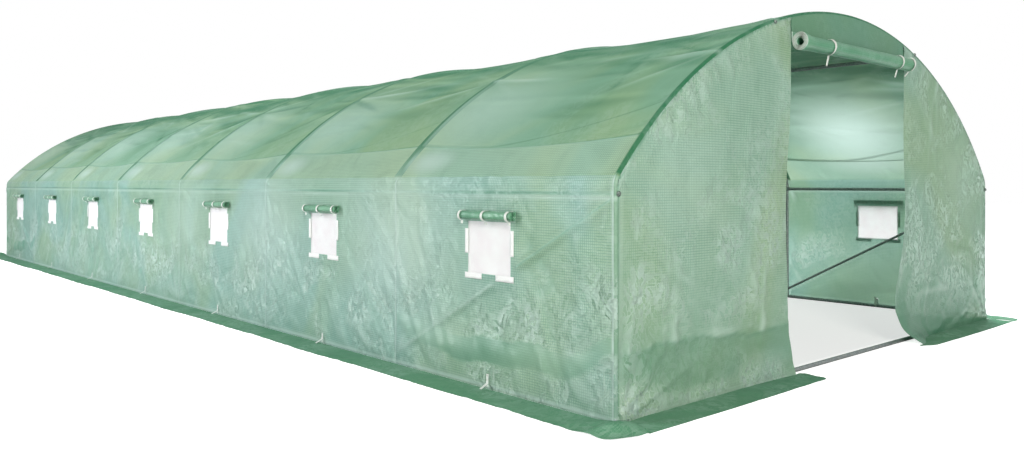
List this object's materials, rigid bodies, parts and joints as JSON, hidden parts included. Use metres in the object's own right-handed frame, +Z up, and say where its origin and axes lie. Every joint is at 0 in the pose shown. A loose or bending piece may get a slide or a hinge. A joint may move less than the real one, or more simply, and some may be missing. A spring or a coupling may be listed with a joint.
{
  "type": "polytunnel greenhouse",
  "caption": "Walk-in arched tunnel greenhouse with a plug-together steel tube frame under a translucent green film cover, with roll-up doors and netted side windows",
  "frame": {"origin": "the middle of the ground plan, on the ground", "axes": "+X across the tunnel, +Y along the tunnel from the front end to the back end, +Z up"},
  "size_m": [4.4006, 12.4006, 2.0023],
  "materials": {
    "galvanised_tube": "hot-dip galvanised steel tube, matt grey",
    "green_film": "translucent light green woven polyethylene film with a reinforcing grid",
    "window_net": "fine white insect net",
    "white_tape": "white woven tape",
    "hook_and_loop": "white hook-and-loop strip"
  },
  "bodies": {
    "root": {"left_legs": "galvanised_tube", "right_legs": "galvanised_tube", "left_arch_tubes": "galvanised_tube", "right_arch_tubes": "galvanised_tube", "crown_tubes": "galvanised_tube", "left_ground_rail": "galvanised_tube", "right_ground_rail": "galvanised_tube", "front_sill": "galvanised_tube", "back_sill": "galvanised_tube", "left_shoulder_purlin": "galvanised_tube", "right_shoulder_purlin": "galvanised_tube", "left_roof_purlin": "galvanised_tube", "right_roof_purlin": "galvanised_tube", "left_braces": "galvanised_tube", "right_braces": "galvanised_tube", "left_wall_sheet": "green_film", "right_wall_sheet": "green_film", "left_roof_sheet": "green_film", "crown_roof_sheet": "green_film", "right_roof_sheet": "green_film", "front_left_sheet": "green_film", "front_right_sheet": "green_film", "front_head_sheet": "green_film", "back_left_sheet": "green_film", "back_right_sheet": "green_film", "back_head_sheet": "green_film", "left_skirt": "green_film", "right_skirt": "green_film", "front_skirts": "green_film", "back_skirts": "green_film", "front_door_roll": "green_film", "back_door_roll": "green_film", "left_window_rolls": "green_film", "right_window_rolls": "green_film", "left_window_nets": "window_net", "right_window_nets": "window_net", "front_door_ties": "white_tape", "back_door_ties": "white_tape", "left_window_ties": "white_tape", "right_window_ties": "white_tape", "left_window_strips": "hook_and_loop", "right_window_strips": "hook_and_loop"}
  },
  "joints": []
}
